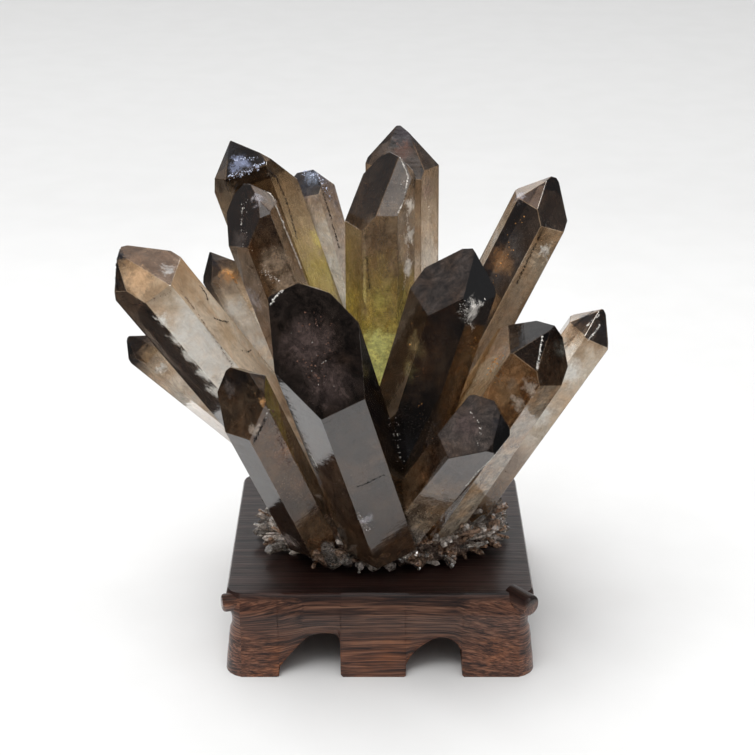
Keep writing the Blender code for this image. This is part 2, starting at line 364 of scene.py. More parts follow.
# How far a spot's ragged edge wanders, and which share of its radius is wholly of the spot's colour.
RAGGED_EDGE = 2.5
SPOT_CORE = 0.3
# Between which shares of the crystal's height its foot's cloudiness gives way to its head's, and what the
# veils in it multiply that by.
CLOUD_HEIGHTS = (0.3, 0.95)
CLOUD_UNEVEN = (0.35, 1.65)
VEIL_STRETCH = (1.0, 1.0, 0.45)
# How much lighter the mottling gets beside how much darker, and the fine grit's share of the darkening.
LIGHTER_MOTTLE = 0.5
GRIT_MOTTLE = 0.6
# The fine lines across the faces, which lie close together up the crystal.
GROWTH_LINES = (25.0, 25.0, 700.0)


def soft_spot(tree, place, edge, centre, radius):
    """Says how far into a ragged ball round a place in the crystal a point is: 0 outside, 1 in its middle."""
    apart = node(tree, "VectorMath", operation="DISTANCE")
    feed_all(tree, apart, {0: place, 1: centre * MM})
    reach = calculate(tree, "ADD", apart.outputs["Value"], edge)
    return over_lengths(tree, reach, radius, radius * SPOT_CORE)


def quartz_colour(tree, place, height, look, spots):
    """Returns the quartz's colour, and how much milkier than the rest of the crystal each point is."""
    colour = ramp(tree, height, look["stops"], "LINEAR")
    amber = changing(tree, place, "quartz_amber", 0.0, look["amber"])
    colour = partly_tinted(tree, amber, colour, AMBER_SHIFT)
    # Each face's painted shade, which darkens the faces that look darker as the light falls on them.
    colour = tinted(tree, colour, attribute(tree, "tint", "Color"))
    milk = attribute(tree, "milk", "Fac")
    edge = changing(tree, place, "quartz_ragged", -RAGGED_EDGE * MM, RAGGED_EDGE * MM)
    for centre, radius, spot_colour, spot_milk in spots:
        share = soft_spot(tree, place, edge, centre, radius)
        colour = mix(tree, share, colour, (*spot_colour, 1.0))
        if spot_milk:
            milk = calculate(tree, "ADD", times(tree, share, spot_milk), milk)
    darker = look["mottle"]
    lightest = 1.0 + LIGHTER_MOTTLE * darker
    clouds = changing(tree, place, "quartz_clouds", 1.0 - darker, lightest)
    grit = changing(tree, place, "quartz_grit", 1.0 - GRIT_MOTTLE * darker, lightest)
    return tinted(tree, colour, times(tree, clouds, grit)), milk


def quartz_material(name, length, look, spots):
    """Smoky quartz whose colour goes from stop to stop up the crystal, 0 at its foot and 1 at its head."""
    made, tree, shader = new_material(name)
    place = attribute(tree, "own", "Vector")
    height = over_lengths(tree, along_axis(tree, place, "Z"), 0.0, length)
    drift = changing(tree, place, "quartz_drift", -HEIGHT_DRIFT, HEIGHT_DRIFT)
    height = calculate(tree, "ADD", height, drift)
    colour, milk = quartz_colour(tree, place, height, look, spots)
    veil = changing(tree, stretched(tree, place, VEIL_STRETCH), "quartz_veil", *CLOUD_UNEVEN)
    cloud = times(tree, between(tree, height, *CLOUD_HEIGHTS, *look["cloud"]), veil)
    cloud = calculate(tree, "ADD", cloud, milk)
    lines = times(tree, pattern(tree, stretched(tree, place, GROWTH_LINES), "quartz_lines"), 0.3)
    relief = calculate(tree, "ADD", lines, pattern(tree, place, "quartz_dents"))
    feed_all(tree, shader, {
        "Base Color": colour,
        "Transmission Weight": calculate(tree, "SUBTRACT", 1.0, cloud, clamp=True),
        "Roughness": changing(tree, place, "quartz_haze", *CRYSTAL_ROUGHNESS),
        "Normal": bump(tree, relief, 0.4, 0.35),
        "Coat Normal": bump(tree, relief, 0.12, look["ripple"]),
        "IOR": QUARTZ_IOR,
        "Coat Weight": look["coat"],
        "Coat IOR": 1.6,
        "Coat Roughness": 0.03,
    })
    inside = node(tree, "VolumeAbsorption")
    feed_all(tree, inside, {"Color": (*look["glass"], 1.0), "Density": look["density"]})
    tree.links.new(inside.outputs[0], tree.nodes["Material Output"].inputs["Volume"])
    return made


# What the glass lets through, what the amber patches multiply the colour by, the quartz's colours, and two
# painted shades for the faces that look darker as the light falls on them.
SMOKY_GLASS = (0.60, 0.46, 0.32)
OLIVE_GLASS = (0.80, 0.72, 0.15)
AMBER_SHIFT = (1.25, 0.82, 0.45, 1.0)
INK = (0.020, 0.018, 0.020)
SMOKE = (0.085, 0.066, 0.057)
UMBER = (0.24, 0.165, 0.105)
BROWN = (0.42, 0.31, 0.21)
TAN = (0.66, 0.53, 0.39)
CREAM = (0.96, 0.92, 0.84)
GREY = (0.50, 0.47, 0.44)
LILAC = (0.46, 0.43, 0.46)
MAUVE = (0.085, 0.060, 0.054)
RUST = (0.62, 0.33, 0.14)
OLIVE = (0.70, 0.60, 0.18)
YELLOW = (1.0, 0.98, 0.34)
DIM_FACE_SHADE = (0.4, 0.38, 0.37)
DARK_FACE_SHADE = (0.12, 0.11, 0.11)

# Each crystal's look: its colours from foot to head (stops, with one colour before the first and after the
# last), how cloudy it is at its foot and at its head (cloud), how strongly its glass darkens with depth
# and in what colour (density, glass), how much amber and mottling it has, the strength and the waviness of
# its gloss (coat, ripple), the faces painted darker than the rest (its face shades, a painted shade for how
# the light falls on each face and what it mirrors) and the faces that are milkier (milky). What a look
# leaves out is as in COMMON_LOOK.
COMMON_LOOK = dict(amber=0.4, mottle=0.4, coat=1.0, ripple=0.35, glass=SMOKY_GLASS, milky={})
LOOKS = {
    "left_upper": dict(
        stops=((0.0, BROWN), (0.3, TAN), (0.5, CREAM), (0.82, CREAM), (0.93, TAN), (1.0, BROWN)),
        cloud=(0.5, 0.35), density=8.0, mottle=0.12, amber=0.25,
        painted_face_shades=dict(
            side5=(0.06, 0.045, 0.04), tip5=DARK_FACE_SHADE, tip0=(0.8, 0.72, 0.62),
            tip1=(0.5, 0.44, 0.44), side1=(0.85, 0.73, 0.60),
        ),
        milky=dict(side0=0.45, side1=0.4, tip0=0.2, tip1=0.2),
    ),
    "left_lower": dict(
        stops=((0.0, UMBER), (0.5, BROWN), (0.75, CREAM), (0.9, TAN), (1.0, SMOKE)),
        cloud=(0.3, 0.3), density=30.0, mottle=0.25,
        painted_face_shades=dict(tip5=DARK_FACE_SHADE, tip0=(0.6, 0.5, 0.35)),
    ),
    "left_small": dict(
        stops=((0.72, CREAM), (0.85, TAN), (0.94, UMBER), (1.0, SMOKE)),
        cloud=(0.5, 0.3), density=12.0, amber=0.5, mottle=0.15,
        painted_face_shades=dict(side5=DIM_FACE_SHADE, tip5=DARK_FACE_SHADE, tip0=(0.25, 0.21, 0.17)),
        milky=dict(side0=0.3),
    ),
    "back_left_tall": dict(
        stops=((0.35, BROWN), (0.7, OLIVE), (0.82, TAN), (0.92, BROWN), (1.0, UMBER)),
        cloud=(0.3, 0.35), density=26.0, glass=(0.7, 0.6, 0.3), amber=0.2, mottle=0.2,
        painted_face_shades=dict(
            side0=(0.16, 0.12, 0.08), tip0=(0.06, 0.06, 0.08), tip5=DIM_FACE_SHADE,
            side1=(0.6, 0.56, 0.48), tip1=(0.42, 0.38, 0.36),
        ),
    ),
    "back_left_small": dict(
        stops=((0.82, CREAM), (0.92, TAN), (1.0, LILAC)),
        cloud=(0.5, 0.6), density=10.0, ripple=1.0, mottle=0.2,
        painted_face_shades=dict(side1=(0.6, 0.56, 0.55), tip0=(0.12, 0.13, 0.15), tip1=DIM_FACE_SHADE),
    ),
    "left_inner": dict(
        stops=((0.62, TAN), (0.74, BROWN), (0.86, UMBER)),
        cloud=(0.3, 0.3), density=45.0, amber=0.5,
        painted_face_shades=dict(side0=(0.8, 0.7, 0.6), side5=(0.9, 0.88, 0.98), tip5=DARK_FACE_SHADE, tip0=(0.35, 0.35, 0.42)),
    ),
    "top_back": dict(
        stops=((0.0, OLIVE), (0.6, CREAM), (0.82, TAN), (0.92, BROWN), (1.0, UMBER)),
        cloud=(0.2, 0.3), density=14.0, mottle=0.25, coat=0.4,
        painted_face_shades=dict(side0=(0.5, 0.42, 0.34), tip5=DARK_FACE_SHADE, tip0=(0.06, 0.05, 0.045), tip1=(0.07, 0.06, 0.055)),
    ),
    "centre_yellow": dict(
        stops=((0.5, YELLOW), (0.62, OLIVE), (0.8, BROWN), (0.93, BROWN), (1.0, UMBER)),
        cloud=(0.4, 0.4), density=7.0, glass=OLIVE_GLASS, amber=0.2, mottle=0.35,
        painted_face_shades=dict(tip5=DARK_FACE_SHADE, side0=(1.0, 0.95, 0.85), side5=(0.8, 0.75, 0.6), tip0=DIM_FACE_SHADE),
    ),
    "front_large": dict(
        stops=((0.5, UMBER), (0.75, SMOKE)),
        cloud=(0.35, 0.6), density=70.0, mottle=0.5, coat=0.6,
        painted_face_shades=dict(
            side0=(0.5, 0.42, 0.36), side5=(0.45, 0.40, 0.36), side1=DARK_FACE_SHADE,
            tip0=(0.3, 0.28, 0.27), tip5=DARK_FACE_SHADE, tip1=DARK_FACE_SHADE,
        ),
    ),
    "front_left": dict(
        stops=((0.75, BROWN), (0.92, UMBER), (1.0, SMOKE)),
        cloud=(0.3, 0.4), density=50.0, amber=0.6, coat=0.35,
        painted_face_shades=dict(side5=DARK_FACE_SHADE, side0=(0.6, 0.5, 0.4), tip5=DIM_FACE_SHADE, tip0=(0.8, 0.7, 0.7)),
    ),
    "right_dark": dict(
        stops=((0.45, INK), (0.6, SMOKE), (0.8, UMBER), (0.92, SMOKE)),
        cloud=(0.3, 0.4), density=80.0, amber=0.6, mottle=0.5,
        painted_face_shades=dict(tip0=INK, tip1=INK, side0=DIM_FACE_SHADE, side1=DIM_FACE_SHADE, side5=INK),
    ),
    "right_back": dict(
        stops=((0.0, UMBER), (0.5, BROWN), (0.72, TAN), (0.84, CREAM), (0.92, TAN), (1.0, BROWN)),
        cloud=(0.25, 0.35), density=24.0, amber=0.5, mottle=0.3, coat=0.55,
        painted_face_shades=dict(
            side0=INK, side1=(0.42, 0.35, 0.27), side2=(0.55, 0.47, 0.37),
            tip0=(0.3, 0.28, 0.33), tip1=INK,
        ),
    ),
    "front_right": dict(
        stops=((0.0, GREY), (0.35, BROWN), (0.6, UMBER), (0.78, SMOKE)),
        cloud=(0.4, 0.6), density=50.0, mottle=0.45,
        painted_face_shades=dict(tip1=INK, side1=DARK_FACE_SHADE, side5=(0.7, 0.6, 0.5), tip0=(0.5, 0.46, 0.45)),
    ),
    "right_middle": dict(
        stops=((0.75, TAN), (0.9, BROWN), (1.0, SMOKE)),
        cloud=(0.35, 0.35), density=35.0, amber=0.6, mottle=0.4,
        painted_face_shades=dict(
            side5=(0.7, 0.5, 0.3), side0=(0.45, 0.32, 0.2), side1=(0.72, 0.74, 0.76), side2=DIM_FACE_SHADE,
            tip5=(0.09, 0.085, 0.09), tip0=INK, tip1=(0.22, 0.18, 0.15), tip2=DARK_FACE_SHADE,
        ),
        milky=dict(side1=0.35),
    ),
    "right_outer": dict(
        stops=((0.0, UMBER), (0.3, BROWN), (0.5, CREAM), (0.88, CREAM), (0.94, TAN), (1.0, BROWN)),
        cloud=(0.3, 0.3), density=12.0, mottle=0.15, coat=0.5,
        painted_face_shades=dict(
            side0=(0.7, 0.62, 0.54), side1=(0.5, 0.42, 0.36), side4=(0.35, 0.3, 0.26),
            tip0=INK, tip5=DARK_FACE_SHADE,
        ),
        milky=dict(side0=0.3),
    ),
}
# The places where each crystal differs from its rest, as (the camera's pixel, radius in mm, colour, how much
# milkier it is than the rest). Most are the quartz's own colour; those noted below are painted light or
# shade.
SPOTS = {
    "left_upper": (
        ((119, 256), 4.0, INK, 0.3), ((115, 280), 3.5, INK, 0.3),
        ((140, 280), 6.0, (0.72, 0.46, 0.26), 0.1), ((168, 270), 3.0, GREY, 0.3),
        ((162, 322), 3.5, CREAM, 0.5), ((176, 340), 4.5, CREAM, 0.5), ((190, 357), 5.0, CREAM, 0.5),
        ((204, 375), 5.5, CREAM, 0.5), ((216, 392), 6.0, CREAM, 0.5),
        ((228, 335), 7.0, (0.62, 0.46, 0.30), 0.0),
    ),
    "left_lower": (
        ((131, 345), 3.5, INK, 0.3), ((160, 368), 2.5, CREAM, 0.5),
    ),
    "left_small": (
        ((230, 274), 4.5, RUST, 0.2), ((214, 258), 4.0, INK, 0.3), ((236, 310), 6.0, CREAM, 0.3),
    ),
    "back_left_tall": (
        # The bluish spot by the tip is a painted reflection on its chipped tip.
        ((228, 152), 6.0, INK, 0.4), ((240, 164), 4.5, (0.30, 0.34, 0.5), 0.3),
        ((228, 190), 4.0, BROWN, 0.0), ((318, 240), 5.0, OLIVE, 0.2),
    ),
    "back_left_small": (
        # The bluish spot is a painted reflection on the frosted tip.
        ((312, 176), 4.5, (0.26, 0.30, 0.38), 0.3),
    ),
    "left_inner": (
        ((258, 198), 3.5, LILAC, 0.2), ((240, 240), 5.0, SMOKE, 0.3), ((250, 298), 7.0, LILAC, 0.3),
        ((276, 262), 8.0, (0.70, 0.52, 0.36), 0.15), ((285, 285), 6.0, (0.70, 0.52, 0.36), 0.15),
    ),
    "top_back": (
        ((405, 133), 7.0, (0.05, 0.04, 0.045), 0.5), ((385, 148), 5.0, SMOKE, 0.4),
        ((404, 150), 5.0, (0.09, 0.042, 0.03), 0.4), ((428, 190), 6.0, (0.50, 0.36, 0.28), 0.3),
    ),
    "centre_yellow": (
        # The three cream spots on the right are a painted reflection, a pale glinting strip. The yellow spots
        # at the foot are the quartz's own yellow, made milkier and brighter as painted light for the glow
        # that shines through.
        ((410, 205), 4.0, CREAM, 0.8), ((410, 235), 4.0, CREAM, 0.8), ((408, 268), 4.0, CREAM, 0.7),
        ((380, 235), 9.0, UMBER, 0.2), ((380, 300), 5.0, OLIVE, 0.3), ((378, 345), 9.0, YELLOW, 0.8),
        ((378, 370), 7.0, YELLOW, 0.9),
    ),
    "front_large": (
        ((308, 345), 12.0, MAUVE, 0.2), ((330, 385), 10.0, MAUVE, 0.1), ((366, 520), 3.5, LILAC, 0.3),
    ),
    "front_left": (
        ((230, 388), 4.0, SMOKE, 0.3), ((262, 402), 2.6, RUST, 0.3),
        ((256, 430), 3.2, (0.45, 0.36, 0.28), 0.3), ((285, 450), 3.5, (0.40, 0.20, 0.09), 0.2),
        ((288, 540), 6.0, (0.34, 0.28, 0.25), 0.5),
    ),
    "right_dark": (
        # The first spot is a painted highlight, a pale wedge of reflected light. The two large ink spots near
        # the foot are painted shade in the dark gap beside the large front crystal.
        ((473, 312), 5.5, (0.80, 0.76, 0.70), 1.0), ((414, 345), 6.5, (0.20, 0.15, 0.07), 0.4),
        ((408, 370), 5.0, (0.17, 0.14, 0.06), 0.4), ((400, 500), 12.0, INK, 0.5),
        ((420, 450), 12.0, INK, 0.3),
    ),
    "right_back": (
        ((518, 196), 4.0, LILAC, 0.3), ((500, 260), 7.0, (0.24, 0.12, 0.05), 0.3),
        ((485, 300), 7.0, (0.30, 0.16, 0.07), 0.4), ((545, 250), 3.0, CREAM, 0.3),
    ),
    "front_right": (
        ((466, 425), 7.0, MAUVE, 0.2), ((500, 425), 4.0, INK, 0.4), ((420, 525), 5.0, BROWN, 0.2),
    ),
    "right_middle": (
        ((495, 362), 4.5, (0.50, 0.25, 0.09), 0.3), ((512, 385), 3.5, UMBER, 0.1),
        ((531, 388), 4.0, (0.62, 0.52, 0.42), 0.25), ((520, 404), 4.0, (0.62, 0.52, 0.42), 0.25),
        ((560, 350), 4.0, (0.10, 0.095, 0.08), 0.3),
    ),
    "right_outer": (
        ((585, 318), 4.0, INK, 0.3), ((602, 330), 3.5, INK, 0.3), ((570, 372), 7.0, CREAM, 0.4),
        ((540, 415), 7.0, CREAM, 0.3), ((512, 464), 9.0, (0.26, 0.18, 0.12), 0.5),
    ),
}


class Crystal:
    """One large point: its object, its own frame, its length and its faces."""

    def __init__(self, name, head, foot, turn, sides, caps):
        self.name = name
        self.place = crystal_matrix(head, foot)
        self.length = (Vector(head) - Vector(foot)).length
        self.planes = crystal_planes(self.length, turn, sides, caps)
        self.width = min(sides)
        look = COMMON_LOOK | LOOKS[name]
        spots = []
        for pixel, radius, colour, milk in SPOTS[name]:
            spots.append((self.entry(sight_line(pixel))[0], radius, colour, milk))
        down = self.place.inverted().to_3x3() @ Vector((0, 0, -1))
        base = self.place.inverted() @ Vector((foot[0], foot[1], REST_HEIGHT))
        ends = [("foot", Vector(), Vector((0, 0, -1))), ("base", base, down)]
        body = cut_point(ends + self.planes, CUTTING_BLOCK)
        bmesh.ops.bevel(
            body, geom=body.edges[:], offset=EDGE_WIDTH, segments=1, affect="EDGES", clamp_overlap=True
        )
        self.piece = mesh_object(body, name, self.place, "smoky_quartz")
        paint_face_shades(self.piece, self.place, self.planes, look["painted_face_shades"], look["milky"])
        self.piece.data.materials.append(quartz_material(name, self.length, look, spots))

    def holds(self, point, margin=0.4):
        """Says whether a point in the crystal's own frame is inside it, deeper than the margin."""
        return all((point - place).dot(outward) < -margin for _, place, outward in self.planes)

    def entry(self, way):
        """Finds where the camera's line of sight enters the crystal, and how that face is turned."""
        into_own = self.place.inverted()
        start = into_own @ Vector(CAMERA_PLACE)
        way = into_own.to_3x3() @ way
        met = []
        for _, place, outward in self.planes:
            if way.dot(outward) < 0:
                met.append(((place - start).dot(outward) / way.dot(outward), outward))
        distance, outward = max(met, key=lambda pair: pair[0])
        return start + distance * way, outward

    def pushed_in(self, point, inward, depth):
        """Moves a point inwards until it is at least this deep under every face."""
        point = point + depth * inward
        for _, place, outward in self.planes:
            short = (point - place).dot(outward) + depth
            if short > 0:
                point = point - short * outward
        return point


# ---------------------------------------------------------------- what the crystals hold

# Veils are curved sheets of fine flakes in the quartz: how many there are in each crystal.
VEILS = {
    "left_upper": 6, "left_lower": 4, "left_small": 4, "back_left_tall": 5, "back_left_small": 6,
    "left_inner": 5, "top_back": 5, "centre_yellow": 7, "front_large": 4, "front_left": 4,
    "right_dark": 4, "right_back": 6, "front_right": 4, "right_middle": 5, "right_outer": 5,
}
FLAKES_A_VEIL = 150
FLAKE_SIZES = (0.10, 0.36)
# Where a veil's middle lies, up the crystal's length and out over its half width, and how large the veil is
# beside that half width.
VEIL_HEIGHTS = (0.3, 0.98)
VEIL_OFF_AXIS = (0.2, 0.85)
VEIL_SIZES = (0.5, 1.3)
# How far a veil may lean and bow, how its flakes scatter over it, how much longer than wide it is, and how
# thick it is in millimetres.
VEIL_LEAN = 1.2
VEIL_BOW = 0.25
VEIL_SCATTER = 0.45
VEIL_LENGTHENING = 1.6
VEIL_THICKNESS = 0.12
# How far flakes turn out of their veil or mark, and how their sizes differ within a mark.
VEIL_TILT = 0.5
MARK_TILT = 0.7
MARK_SIZES = (0.5, 1.3)
# Each crystal's marks under the faces that the camera sees, as (flakes' kind, half width of the band in mm,
# flakes to the mm, their size in mm, the camera's pixels that the band runs through).
MARKS = {
    "left_inner": (
        # The first white band is a chipped edge; the other two are painted glints.
        ("white_flecks_and_glints", 0.6, 16, 0.5, ((268, 187), (276, 206), (284, 226), (293, 248), (301, 268))),
        ("white_flecks_and_glints", 2.2, 9, 0.4, ((262, 268), (270, 276), (281, 281))),
        ("white_flecks_and_glints", 2.5, 4, 0.35, ((245, 200), (240, 225), (250, 250))),
    ),
    "back_left_tall": (
        # The blue bands are a painted bluish reflection on the chipped tip.
        ("painted_blue_reflection", 1.6, 12, 0.5, ((226, 176), (238, 176), (252, 170), (264, 163))),
        ("painted_blue_reflection", 1.5, 7, 0.4, ((236, 160), (246, 158), (256, 158))),
        ("dark", 0.7, 9, 0.5, ((268, 170), (277, 178), (288, 205), (297, 238))),
    ),
    "back_left_small": (
        # The blue band is a painted bluish reflection on the frosted tip.
        ("painted_blue_reflection", 2.5, 7, 0.5, ((302, 172), (314, 175), (324, 184), (331, 198))),
        ("dark", 0.5, 7, 0.5, ((322, 190), (330, 215), (339, 248))),
    ),
    "top_back": (
        # These white flakes are painted glints.
        ("white_flecks_and_glints", 1.2, 3, 0.3, ((424, 190), (430, 215), (434, 240), (436, 252))),
    ),
    "centre_yellow": (
        # The first white band is painted glints along the pale strip on the right.
        ("white_flecks_and_glints", 1.8, 9, 0.36, ((404, 182), (407, 215), (408, 250), (404, 290))),
        ("white_flecks_and_glints", 0.25, 10, 0.35, ((400, 157), (408, 176), (404, 200), (398, 213))),
        ("dark", 0.5, 5, 0.4, ((364, 222), (366, 250), (370, 290))),
    ),
    "right_dark": (
        # The first two white bands are painted glints in the painted highlight; the third is painted glints
        # in the shaded gap beside the large front crystal.
        ("white_flecks_and_glints", 2.2, 16, 0.42, ((461, 305), (472, 306), (484, 304))),
        ("white_flecks_and_glints", 1.8, 10, 0.36, ((463, 312), (470, 322), (474, 330))),
        ("white_flecks_and_glints", 1.6, 2, 0.4, ((396, 420), (400, 455), (402, 488), (404, 520))),
        ("amber", 5.0, 1, 0.35, ((412, 320), (420, 400), (430, 450))),
    ),
    "right_back": (
        ("amber", 3.0, 2, 0.35, ((520, 215), (508, 250), (490, 290))),
        ("white_flecks_and_glints", 0.8, 8, 0.4, ((540, 246), (545, 252), (548, 262))),
        ("dark", 0.7, 7, 0.5, ((545, 224), (533, 250), (516, 285))),
    ),
    "front_large": (
        ("dark", 0.22, 13, 0.45, ((357, 487), (366, 484), (375, 479), (384, 475))),
        ("white_flecks_and_glints", 2.6, 9, 0.3, ((358, 512), (364, 522), (370, 530))),
        ("white_flecks_and_glints", 0.5, 10, 0.3, ((308, 452), (314, 460), (318, 468))),
        ("brown", 6.0, 5, 0.5, ((295, 325), (315, 318), (330, 345), (318, 380), (300, 355))),
        ("white_flecks_and_glints", 7.0, 1.5, 0.25, ((290, 320), (315, 345), (330, 385))),
        ("white_flecks_and_glints", 0.6, 14, 0.4, ((271, 305), (276, 296), (283, 290))),
    ),
    "front_left": (
        ("dark", 1.0, 20, 0.5, ((265, 419), (260, 430), (253, 444))),
        # These white flakes are painted glints.
        ("white_flecks_and_glints", 0.9, 7, 0.35, ((262, 404), (268, 410), (266, 418))),
        ("brown", 1.4, 7, 0.5, ((268, 392), (276, 425), (288, 465))),
    ),
    "front_right": (
        ("white_flecks_and_glints", 0.4, 10, 0.35, ((509, 443), (494, 457), (478, 471), (466, 486))),
        ("white_flecks_and_glints", 1.0, 5, 0.3, ((470, 412), (482, 425), (478, 445))),
    ),
    "right_middle": (
        ("white_flecks_and_glints", 0.5, 16, 0.42, ((542, 336), (540, 352), (537, 369))),
        ("amber", 2.8, 9, 0.5, ((488, 374), (495, 360), (502, 356), (498, 380))),
    ),
    "right_outer": (
        ("white_flecks_and_glints", 0.35, 26, 0.4, ((577, 336), (588, 325), (599, 315))),
        ("white_flecks_and_glints", 0.35, 20, 0.4, ((588, 340), (594, 333), (600, 325))),
        ("dark", 0.6, 12, 0.5, ((574, 326), (585, 317), (594, 311))),
        ("brown", 1.0, 6, 0.5, ((520, 440), (512, 456), (506, 472))),
    ),
    "left_upper": (
        ("dark", 0.5, 8, 0.5, ((200, 286), (205, 292), (208, 301))),
        ("dark", 0.4, 8, 0.5, ((214, 318), (221, 321), (228, 322))),
        ("dark", 0.5, 6, 0.5, ((240, 350), (247, 352), (252, 350))),
        ("brown", 0.8, 5, 0.4, ((131, 305), (142, 304), (152, 300), (162, 296), (173, 291))),
        ("dark", 0.7, 16, 0.5, ((121, 250), (116, 262), (115, 276), (118, 290))),
        ("brown", 0.9, 7, 0.45, ((180, 290), (195, 310), (212, 335), (232, 365))),
    ),
    "left_lower": (
        ("white_flecks_and_glints", 1.2, 12, 0.4, ((156, 366), (163, 371))),
    ),
    "left_small": (
        ("amber", 1.0, 10, 0.45, ((224, 270), (231, 276), (237, 283))),
    ),
}
# How deep the marks' flakes lie under the faces: some of them just reach out of the crystal.
MARK_DEPTHS = (-0.06, 0.25)
# The flakes' colours: the white ones are veils, chips and, in the bands so noted, painted glints; the blue
# ones are a painted bluish reflection.
FLAKE_COLOURS = {
    "amber": (0.85, 0.42, 0.12),
    "painted_blue_reflection": (0.70, 0.76, 0.95),
    "brown": (0.16, 0.085, 0.06),
    "dark": (0.02, 0.014, 0.012),
    "white_flecks_and_glints": (0.92, 0.88, 0.82),
}


# A flake's corners: the radians from one to the next, how far each may swing from there, and how far out it
# lies beside the flake's size. The last is how high the flake's point stands beside that size.
FLAKE_TURN = 2.1
FLAKE_SWING = 0.4
FLAKE_REACHES = (0.6, 1.3)
FLAKE_HEIGHT = 0.25


def add_flake(bm, centre, facing, size, dice):
    """Adds one thin closed chip: three corners round a low point."""
    across = facing.orthogonal().normalized()
    along = facing.cross(across)
    start = dice.uniform(0, 2 * math.pi)
    corners = []
    for number in range(3):
        angle = start + number * FLAKE_TURN + dice.uniform(-FLAKE_SWING, FLAKE_SWING)
        reach = size * dice.uniform(*FLAKE_REACHES)
        corners.append(bm.verts.new(centre + reach * (math.cos(angle) * across + math.sin(angle) * along)))
    point = bm.verts.new(centre + FLAKE_HEIGHT * size * facing)
    bm.faces.new(list(reversed(corners)))
    for first, second in zip(corners, corners[1:] + corners[:1]):
        bm.faces.new((first, second, point))


def random_way(dice):
    return Vector((dice.gauss(0, 1), dice.gauss(0, 1), dice.gauss(0, 1))).normalized()


def add_veil(bm, crystal, dice):
    """Adds one curved sheet of flakes inside a crystal."""
    height = crystal.length * dice.uniform(*VEIL_HEIGHTS)
    angle = dice.uniform(0, 2 * math.pi)
    off = crystal.width * dice.uniform(*VEIL_OFF_AXIS)
    centre = Vector((off * math.cos(angle), off * math.sin(angle), height))
    lean = dice.uniform(-VEIL_LEAN, VEIL_LEAN)
    facing = Vector((math.cos(angle), math.sin(angle), lean)).normalized()
    across = facing.orthogonal().normalized()
    along = facing.cross(across)
    reach = crystal.width * dice.uniform(*VEIL_SIZES)
    bow = dice.uniform(-VEIL_BOW, VEIL_BOW)
    for _ in range(FLAKES_A_VEIL):
        u = dice.gauss(0, VEIL_SCATTER)
        v = dice.gauss(0, VEIL_SCATTER)
        bowed = bow * (u * u + v * v)
        point = centre + reach * (u * across + VEIL_LENGTHENING * v * along + bowed * facing)
        point += dice.gauss(0, VEIL_THICKNESS) * facing
        if crystal.holds(point):
            tilt = (facing + VEIL_TILT * random_way(dice)).normalized()
            place = crystal.place @ point
            add_flake(bm, place, crystal.place.to_3x3() @ tilt, dice.uniform(*FLAKE_SIZES), dice)


def add_mark(bm, crystal, half_width, to_the_mm, size, pixels, dice):
    """Adds a band of flakes just under the faces that the camera sees through a row of its pixels."""
    entries = [crystal.entry(sight_line(pixel)) for pixel in pixels]
    for (first, facing), (second, next_facing) in zip(entries, entries[1:]):
        run = second - first
        for _ in range(max(1, round(to_the_mm * run.length))):
            share = dice.random()
            spread = random_way(dice) * half_width * dice.uniform(0, 1)
            point = first + share * run + spread
            inward = -facing if share < 0.5 else -next_facing
            point = crystal.pushed_in(point, inward, dice.uniform(*MARK_DEPTHS))
            tilt = (MARK_TILT * random_way(dice) - inward).normalized()
            tilt = crystal.place.to_3x3() @ tilt
            add_flake(bm, crystal.place @ point, tilt, size * dice.uniform(*MARK_SIZES), dice)


def flake_material(name, colour):
    made, tree, shader = new_material(name)
    spots = changing(tree, object_place(tree), "flake_spots", 0.6, 1.2)
    feed_all(tree, shader, {"Base Color": tinted(tree, (*colour, 1.0), spots), "Roughness": 0.25})
    return made


def fill_crystals(crystals, dice):
    """Puts veils and marks, made of fine flakes, into the crystals: one piece for each colour of flake."""
    kinds = {name: bmesh.new() for name in FLAKE_COLOURS}
    named = {crystal.name: crystal for crystal in crystals}
    for crystal in crystals:
        for _ in range(VEILS[crystal.name]):
            add_veil(kinds["white_flecks_and_glints"], crystal, dice)
    for name, marks in MARKS.items():
        for kind, half_width, to_the_mm, size, pixels in marks:
            add_mark(kinds[kind], named[name], half_width, to_the_mm, size, pixels, dice)
    for kind, bm in kinds.items():
        flakes = mesh_object(bm, f"{kind}_flakes", slot="smoky_quartz")
        flakes.data.materials.append(flake_material(f"{kind}_flakes", FLAKE_COLOURS[kind]))


# ---------------------------------------------------------------- the druse

CRUST_CENTRE = (2, -3)
# The bed's rings from its foot up, as (height, half width, half depth).
CRUST_RINGS = ((REST_HEIGHT, 44, 28), (40, 48, 31), (47, 46, 30), (54, 38, 24), (60, 26, 15))
BED_AROUND = 120
BED_UNEVEN = 0.07
# How far up or down a corner of the bed or the foot of a small crystal may lie.
CRUST_LIFT = 1.5
BED_COLOURS = ((0.35, (0.014, 0.009, 0.007)), (0.5, (0.15, 0.10, 0.075)), (0.66, (0.70, 0.55, 0.45)))


def on_crust(angle, half_width, half_depth, height):
    x = CRUST_CENTRE[0] + half_width * math.cos(angle)
    y = CRUST_CENTRE[1] + half_depth * math.sin(angle)
    return Vector((x, y, height))


def join_rings(bm, rings):
    """Joins rings of corners to a tube with flat ends, and returns its faces."""
    around = len(rings[0])
    faces = []
    for lower, upper in zip(rings, rings[1:]):
        for number in range(around):
            following = (number + 1) % around
            faces.append(bm.faces.new((lower[number], lower[following], upper[following], upper[number])))
    faces.append(bm.faces.new(list(reversed(rings[0]))))
    faces.append(bm.faces.new(rings[-1]))
    return faces


